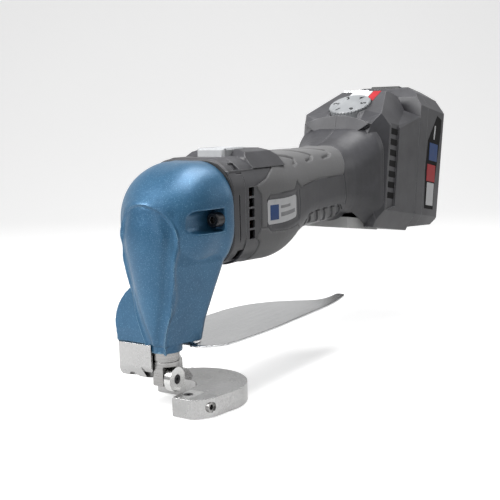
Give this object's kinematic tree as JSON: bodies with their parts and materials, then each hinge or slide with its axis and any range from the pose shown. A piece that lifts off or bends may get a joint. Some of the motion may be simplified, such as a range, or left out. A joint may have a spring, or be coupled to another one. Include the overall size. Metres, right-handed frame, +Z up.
{
  "type": "cordless sheet-metal shear",
  "caption": "Cordless sheet-metal shear with a blue gear head, a round blade on a driven ram, a C-shaped steel cutting table, a hand guard plate and a slide-on battery foot.",
  "frame": {"origin": "on the ram axis at the flat underside of the cutting table", "axes": "+X in the cutting direction, +Y to the operator's left, +Z up along the ram towards the motor"},
  "size_m": [0.3769, 0.076, 0.1978],
  "materials": {
    "blue_paint": "hammered metallic blue",
    "table_steel": "satin",
    "blade_steel": "ground",
    "plate_steel": "polished",
    "ram_steel": "ground",
    "screw_steel": "black oxide",
    "dark_plastic": "fine texture",
    "grip_rubber": "soft matt",
    "light_plastic": "satin",
    "filter_plastic": "ribbed",
    "lens_plastic": "clear",
    "seal_rubber": "matt",
    "bearing_steel": "polished",
    "gear_steel": "hardened",
    "bronze": "sintered",
    "laminations": "stacked sheet",
    "magnet": "plated",
    "copper": "enamelled",
    "fan_plastic": "moulded",
    "plate_aluminium": "machined",
    "board": "solder mask",
    "potting": "potted",
    "cell_wrap": "shrink wrap",
    "lead_red": "insulation"
  },
  "bodies": {
    "housing": {"gear_head": "blue_paint", "head_screws": "screw_steel", "corner_screws": "screw_steel", "front_collar": "dark_plastic", "head_gasket": "seal_rubber", "bearing_plate": "plate_aluminium", "stator_core": "laminations", "stator_windings": "copper", "motor_outer_rings": "bearing_steel", "eccentric_outer_rings": "bearing_steel", "guide_bush": "bronze", "ram_seal": "seal_rubber", "cutting_table": "table_steel", "lower_blade": "blade_steel", "lower_blade_screw": "screw_steel", "adjusting_screw": "ram_steel", "table_screws": "screw_steel", "guard_plate": "plate_steel", "guard_screws": "screw_steel", "shell_left": "dark_plastic", "shell_right": "dark_plastic", "shell_screws": "screw_steel", "grip_overmould": "grip_rubber", "switch_cover": "dark_plastic", "switch_module": "potting", "dial_potentiometer": "potting", "electronics_module": "potting", "terminal_block": "fan_plastic", "terminal_blades": "copper", "motor_leads": "lead_red", "status_light": "lens_plastic"},
    "rotor": {"rotor_shaft": "gear_steel", "rotor_core": "laminations", "rotor_magnets": "magnet", "cooling_fan": "fan_plastic", "motor_inner_rings": "bearing_steel"},
    "motor_ball_set": {"motor_balls": "bearing_steel"},
    "eccentric": {"eccentric_shaft": "gear_steel", "drive_gear": "gear_steel", "gear_key": "gear_steel", "eccentric_inner_rings": "bearing_steel"},
    "eccentric_ball_set": {"eccentric_balls": "bearing_steel"},
    "connecting_rod": {"conrod": "gear_steel", "conrod_needles": "bearing_steel", "wrist_pin": "bearing_steel"},
    "ram": {"ram": "ram_steel", "upper_blade": "blade_steel", "upper_blade_screw": "screw_steel"},
    "switch": {"switch_slider": "light_plastic", "switch_rod": "fan_plastic"},
    "dial": {"speed_dial": "light_plastic"},
    "filter": {"dust_filter": "filter_plastic"},
    "battery": {"battery_lid": "dark_plastic", "battery_case": "dark_plastic", "battery_cells": "cell_wrap", "battery_board": "board", "battery_contacts": "copper", "release_springs": "gear_steel"},
    "release": {"release_button": "fan_plastic"}
  },
  "joints": [
    {"name": "eccentric_spin", "type": "hinge", "parent": "housing", "child": "eccentric", "pos_m": [0, 0, 0.097], "axis": [1, 0, 0], "continuous": true},
    {"name": "rotor_spin", "type": "hinge", "parent": "housing", "child": "rotor", "pos_m": [0, 0, 0.118], "axis": [1, 0, 0], "continuous": true},
    {"name": "motor_ball_orbit", "type": "hinge", "parent": "housing", "child": "motor_ball_set", "pos_m": [0, 0, 0.118], "axis": [1, 0, 0], "continuous": true},
    {"name": "eccentric_ball_orbit", "type": "hinge", "parent": "housing", "child": "eccentric_ball_set", "pos_m": [0, 0, 0.097], "axis": [1, 0, 0], "continuous": true},
    {"name": "conrod_pivot", "type": "hinge", "parent": "eccentric", "child": "connecting_rod", "pos_m": [0, 0, 0.0995], "axis": [1, 0, 0], "continuous": true},
    {"name": "ram_stroke", "type": "slide", "parent": "housing", "child": "ram", "axis": [0, 0, -1], "range_m": [0, 0.005]},
    {"name": "switch_slide", "type": "slide", "parent": "housing", "child": "switch", "axis": [1, 0, 0], "range_m": [0, 0.008]},
    {"name": "dial_turn", "type": "hinge", "parent": "housing", "child": "dial", "pos_m": [-0.24793, 0, 0.18117], "axis": [0.4207, 0, 0.9072], "range_deg": [-140, 140]},
    {"name": "battery_slide", "type": "slide", "parent": "housing", "child": "battery", "axis": [-0.1564, 0, 0.9877], "range_m": [0, 0.1]},
    {"name": "release_press", "type": "slide", "parent": "battery", "child": "release", "axis": [0.1564, 0, -0.9877], "range_m": [0, 0.003], "deforming": ["release_springs"]},
    {"name": "filter_slide", "type": "slide", "parent": "housing", "child": "filter", "axis": [0, 0, -1], "range_m": [0, 0.03]}
  ],
  "couplings": [
    {"joint": "rotor_spin", "follows": "eccentric_spin", "ratio": -4.8333},
    {"joint": "motor_ball_orbit", "follows": "eccentric_spin", "ratio": -1.8077},
    {"joint": "eccentric_ball_orbit", "follows": "eccentric_spin", "ratio": 0.394},
    {"joint": "conrod_pivot", "follows": "eccentric_spin", "ratio": -1}
  ]
}
